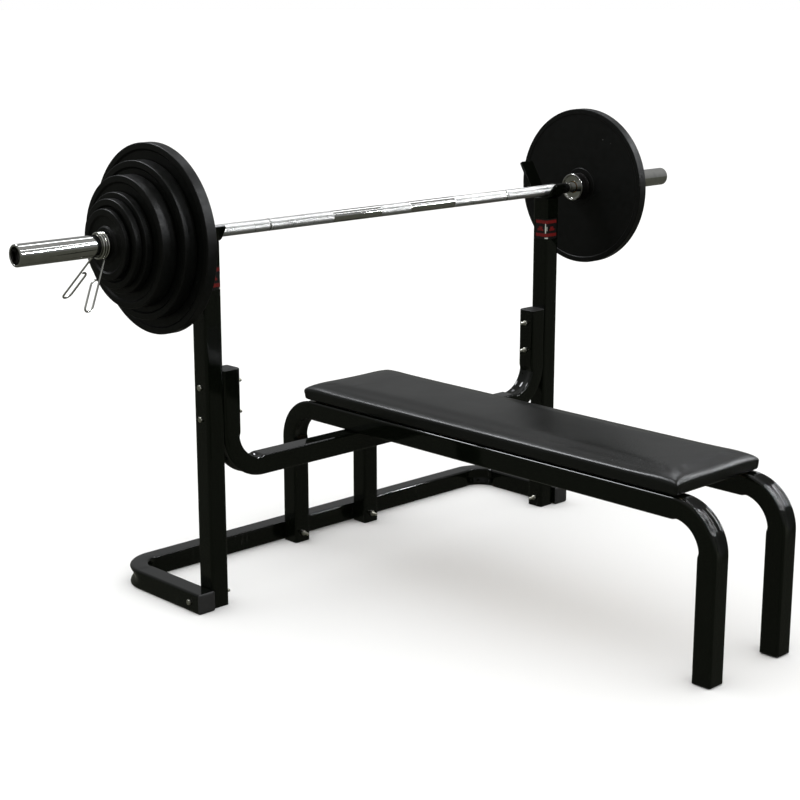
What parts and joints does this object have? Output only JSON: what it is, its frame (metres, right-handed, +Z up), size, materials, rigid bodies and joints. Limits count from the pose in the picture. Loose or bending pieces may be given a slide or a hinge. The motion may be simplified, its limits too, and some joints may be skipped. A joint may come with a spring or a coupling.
{
  "type": "olympic bench press",
  "caption": "Flat square-tube weight bench with padded board, bar cradles on two uprights, and a loaded barbell with rotating sleeves, weight plates and spring collars.",
  "frame": {"origin": "on the floor, under the centre of the object's bounding box", "axes": "+X along the bar towards its right-hand end, +Y towards the head end of the bench, +Z up"},
  "size_m": [2.2, 1.4696, 1.1267],
  "materials": {
    "black_powder_coat": "gloss black powder coat",
    "black_iron_paint": "satin black enamel on cast iron",
    "chrome": "bright chrome, knurled on the shaft",
    "zinc_plate": "zinc plated",
    "black_oxide": "black oxide",
    "black_vinyl": "grained black vinyl",
    "plywood": "plywood",
    "black_plastic": "moulded black plastic",
    "bronze": "bronze bushing"
  },
  "bodies": {
    "bench": {"base_tube": "black_powder_coat", "cross_tube": "black_powder_coat", "pad_board": "plywood", "bench_pad": "black_vinyl", "left_bench_rail": "black_powder_coat", "left_upright": "black_powder_coat", "left_bar_cradle": "black_powder_coat", "left_front_foot": "black_plastic", "left_arm_plug": "black_plastic", "left_flange_plug": "black_plastic", "left_lower_flange_bolt": "zinc_plate", "left_lower_flange_nut": "zinc_plate", "left_upper_flange_bolt": "zinc_plate", "left_upper_flange_nut": "zinc_plate", "left_arm_bolt": "zinc_plate", "left_arm_nut": "zinc_plate", "left_rear_leg_bolt": "zinc_plate", "left_rear_leg_nut": "zinc_plate", "left_long_pad_bolt": "zinc_plate", "left_pad_bolt": "zinc_plate", "right_bench_rail": "black_powder_coat", "right_upright": "black_powder_coat", "right_bar_cradle": "black_powder_coat", "right_front_foot": "black_plastic", "right_arm_plug": "black_plastic", "right_flange_plug": "black_plastic", "right_lower_flange_bolt": "zinc_plate", "right_lower_flange_nut": "zinc_plate", "right_upper_flange_bolt": "zinc_plate", "right_upper_flange_nut": "zinc_plate", "right_arm_bolt": "zinc_plate", "right_arm_nut": "zinc_plate", "right_rear_leg_bolt": "zinc_plate", "right_rear_leg_nut": "zinc_plate", "right_long_pad_bolt": "zinc_plate", "right_pad_bolt": "zinc_plate"},
    "bar_shaft": {"bar_shaft": "chrome", "left_bushing": "bronze", "left_sleeve_bolt": "black_oxide", "right_bushing": "bronze", "right_sleeve_bolt": "black_oxide"},
    "left_sleeve": {"left_sleeve": "chrome"},
    "left_plate_45lb": {"left_plate_45lb": "black_iron_paint"},
    "left_plate_35lb": {"left_plate_35lb": "black_iron_paint"},
    "left_plate_25lb": {"left_plate_25lb": "black_iron_paint"},
    "left_plate_10lb": {"left_plate_10lb": "black_iron_paint"},
    "left_plate_5lb": {"left_plate_5lb": "black_iron_paint"},
    "left_plate_2.5lb": {"left_plate_2.5lb": "black_iron_paint"},
    "left_collar": {"left_collar_coil": "chrome"},
    "left_collar_handle": {"left_collar_handle": "chrome"},
    "right_sleeve": {"right_sleeve": "chrome"},
    "right_plate_45lb": {"right_plate_45lb": "black_iron_paint"},
    "right_plate_35lb": {"right_plate_35lb": "black_iron_paint"},
    "right_plate_25lb": {"right_plate_25lb": "black_iron_paint"},
    "right_plate_10lb": {"right_plate_10lb": "black_iron_paint"},
    "right_plate_5lb": {"right_plate_5lb": "black_iron_paint"},
    "right_plate_2.5lb": {"right_plate_2.5lb": "black_iron_paint"},
    "right_collar": {"right_collar_coil": "chrome"},
    "right_collar_handle": {"right_collar_handle": "chrome"}
  },
  "joints": [
    {"name": "barbell_lift", "type": "slide", "parent": "bench", "child": "bar_shaft", "axis": [0, 0, 1], "range_m": [0, 0.25]},
    {"name": "left_sleeve_spin", "type": "hinge", "parent": "bar_shaft", "child": "left_sleeve", "pos_m": [-0.9, 0.4067, 0.9121], "axis": [1, 0, 0], "continuous": true},
    {"name": "left_plate_45lb_slide", "type": "slide", "parent": "left_sleeve", "child": "left_plate_45lb", "axis": [-1, 0, 0], "range_m": [0, 0.377]},
    {"name": "left_plate_35lb_slide", "type": "slide", "parent": "left_plate_45lb", "child": "left_plate_35lb", "axis": [-1, 0, 0], "range_m": [0, 0.35]},
    {"name": "left_plate_25lb_slide", "type": "slide", "parent": "left_plate_35lb", "child": "left_plate_25lb", "axis": [-1, 0, 0], "range_m": [0, 0.318]},
    {"name": "left_plate_10lb_slide", "type": "slide", "parent": "left_plate_25lb", "child": "left_plate_10lb", "axis": [-1, 0, 0], "range_m": [0, 0.279]},
    {"name": "left_plate_5lb_slide", "type": "slide", "parent": "left_plate_10lb", "child": "left_plate_5lb", "axis": [-1, 0, 0], "range_m": [0, 0.261]},
    {"name": "left_plate_2.5lb_slide", "type": "slide", "parent": "left_plate_5lb", "child": "left_plate_2.5lb", "axis": [-1, 0, 0], "range_m": [0, 0.244]},
    {"name": "left_collar_slide", "type": "slide", "parent": "left_plate_2.5lb", "child": "left_collar", "axis": [-1, 0, 0], "range_m": [0, 0.232]},
    {"name": "left_collar_handle_squeeze", "type": "hinge", "parent": "left_collar", "child": "left_collar_handle", "pos_m": [-0.8735, 0.4067, 0.9121], "axis": [1, 0, 0], "range_deg": [0, 20], "stiffness_Nm_per_rad": 4},
    {"name": "right_sleeve_spin", "type": "hinge", "parent": "bar_shaft", "child": "right_sleeve", "pos_m": [0.9, 0.4067, 0.9121], "axis": [1, 0, 0], "continuous": true},
    {"name": "right_plate_45lb_slide", "type": "slide", "parent": "right_sleeve", "child": "right_plate_45lb", "axis": [1, 0, 0], "range_m": [0, 0.377]},
    {"name": "right_plate_35lb_slide", "type": "slide", "parent": "right_plate_45lb", "child": "right_plate_35lb", "axis": [1, 0, 0], "range_m": [0, 0.35]},
    {"name": "right_plate_25lb_slide", "type": "slide", "parent": "right_plate_35lb", "child": "right_plate_25lb", "axis": [1, 0, 0], "range_m": [0, 0.318]},
    {"name": "right_plate_10lb_slide", "type": "slide", "parent": "right_plate_25lb", "child": "right_plate_10lb", "axis": [1, 0, 0], "range_m": [0, 0.279]},
    {"name": "right_plate_5lb_slide", "type": "slide", "parent": "right_plate_10lb", "child": "right_plate_5lb", "axis": [1, 0, 0], "range_m": [0, 0.261]},
    {"name": "right_plate_2.5lb_slide", "type": "slide", "parent": "right_plate_5lb", "child": "right_plate_2.5lb", "axis": [1, 0, 0], "range_m": [0, 0.244]},
    {"name": "right_collar_slide", "type": "slide", "parent": "right_plate_2.5lb", "child": "right_collar", "axis": [1, 0, 0], "range_m": [0, 0.232]},
    {"name": "right_collar_handle_squeeze", "type": "hinge", "parent": "right_collar", "child": "right_collar_handle", "pos_m": [0.8735, 0.4067, 0.9121], "axis": [1, 0, 0], "range_deg": [0, 20], "stiffness_Nm_per_rad": 4}
  ]
}
